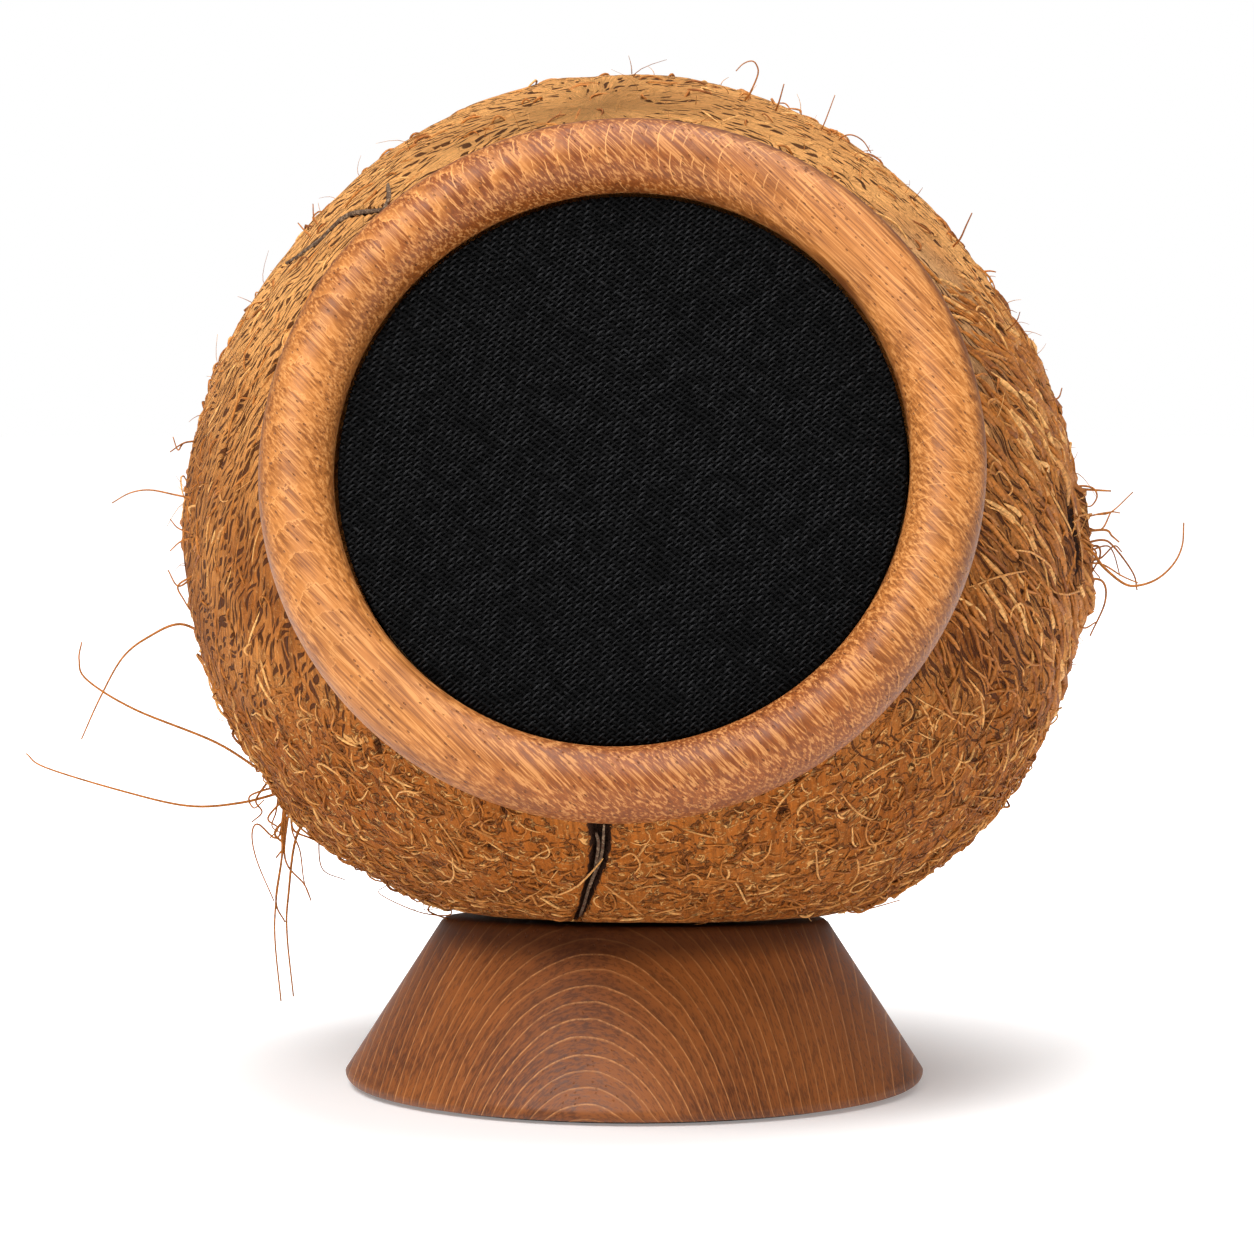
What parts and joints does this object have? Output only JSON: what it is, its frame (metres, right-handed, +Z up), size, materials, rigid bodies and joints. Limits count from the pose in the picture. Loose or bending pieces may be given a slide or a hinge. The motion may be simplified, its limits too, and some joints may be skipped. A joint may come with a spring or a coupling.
{
  "type": "coconut shell loudspeaker",
  "caption": "Small passive loudspeaker in a husked coconut, with a turned wooden ring round black grille cloth and a turned wooden base.",
  "frame": {"origin": "centre of the felt pad's underside, where the base stands", "axes": "+Z up, -Y the way the grille faces, +X to the right seen from the front"},
  "size_m": [0.1665, 0.161, 0.1446],
  "materials": {
    "husk": "sanded coir husk, matte, pitted and fibrous",
    "coir": "loose coir, matte",
    "ring_wood": "turned hardwood, oiled satin",
    "base_wood": "turned dark hardwood, oiled satin",
    "plywood": "bare plywood",
    "grille_fabric": "plain woven black cloth",
    "black_plastic": "fine moulded grain",
    "gasket_foam": "closed-cell foam",
    "black_steel": "black coating",
    "surround_rubber": "matte",
    "cone_paper": "pressed pulp",
    "spider_cloth": "resin-dipped cloth",
    "copper_wire": "enamelled copper",
    "zinc_steel": "zinc plated",
    "ferrite": "sintered, matte",
    "brass": "turned brass",
    "red_plastic": "fine moulded grain",
    "pad_felt": "pressed wool felt"
  },
  "bodies": {
    "root": {"coconut": "husk", "coir_strand_left": "coir", "coir_strand_lower_left": "coir", "coir_strand_long": "coir", "coir_strand_hanging": "coir", "coir_strand_right": "coir", "front_ring": "ring_wood", "grille_cloth": "grille_fabric", "grille_hoop": "black_plastic", "baffle": "plywood", "driver_gasket": "gasket_foam", "driver_basket": "black_steel", "surround": "surround_rubber", "cone": "cone_paper", "dust_cap": "cone_paper", "spider": "spider_cloth", "voice_coil_former": "spider_cloth", "voice_coil_winding": "copper_wire", "top_plate": "zinc_steel", "magnet": "ferrite", "back_plate": "zinc_steel", "driver_screw_1": "black_steel", "driver_screw_2": "black_steel", "driver_screw_3": "black_steel", "driver_screw_4": "black_steel", "tag_strip": "black_plastic", "solder_tag_red": "brass", "solder_tag_black": "brass", "rear_plate": "black_plastic", "binding_post_red": "brass", "binding_post_black": "brass", "post_knob_red": "red_plastic", "post_knob_black": "black_plastic", "post_nut_red": "brass", "post_nut_black": "brass", "rear_plate_screw_1": "black_steel", "rear_plate_screw_2": "black_steel", "lead_wire_red": "red_plastic", "lead_wire_black": "black_plastic", "base": "base_wood", "base_bolt": "zinc_steel", "bolt_head_washer": "zinc_steel", "bolt_nut_washer": "zinc_steel", "bolt_nut": "zinc_steel", "felt_pad": "pad_felt"}
  },
  "joints": []
}
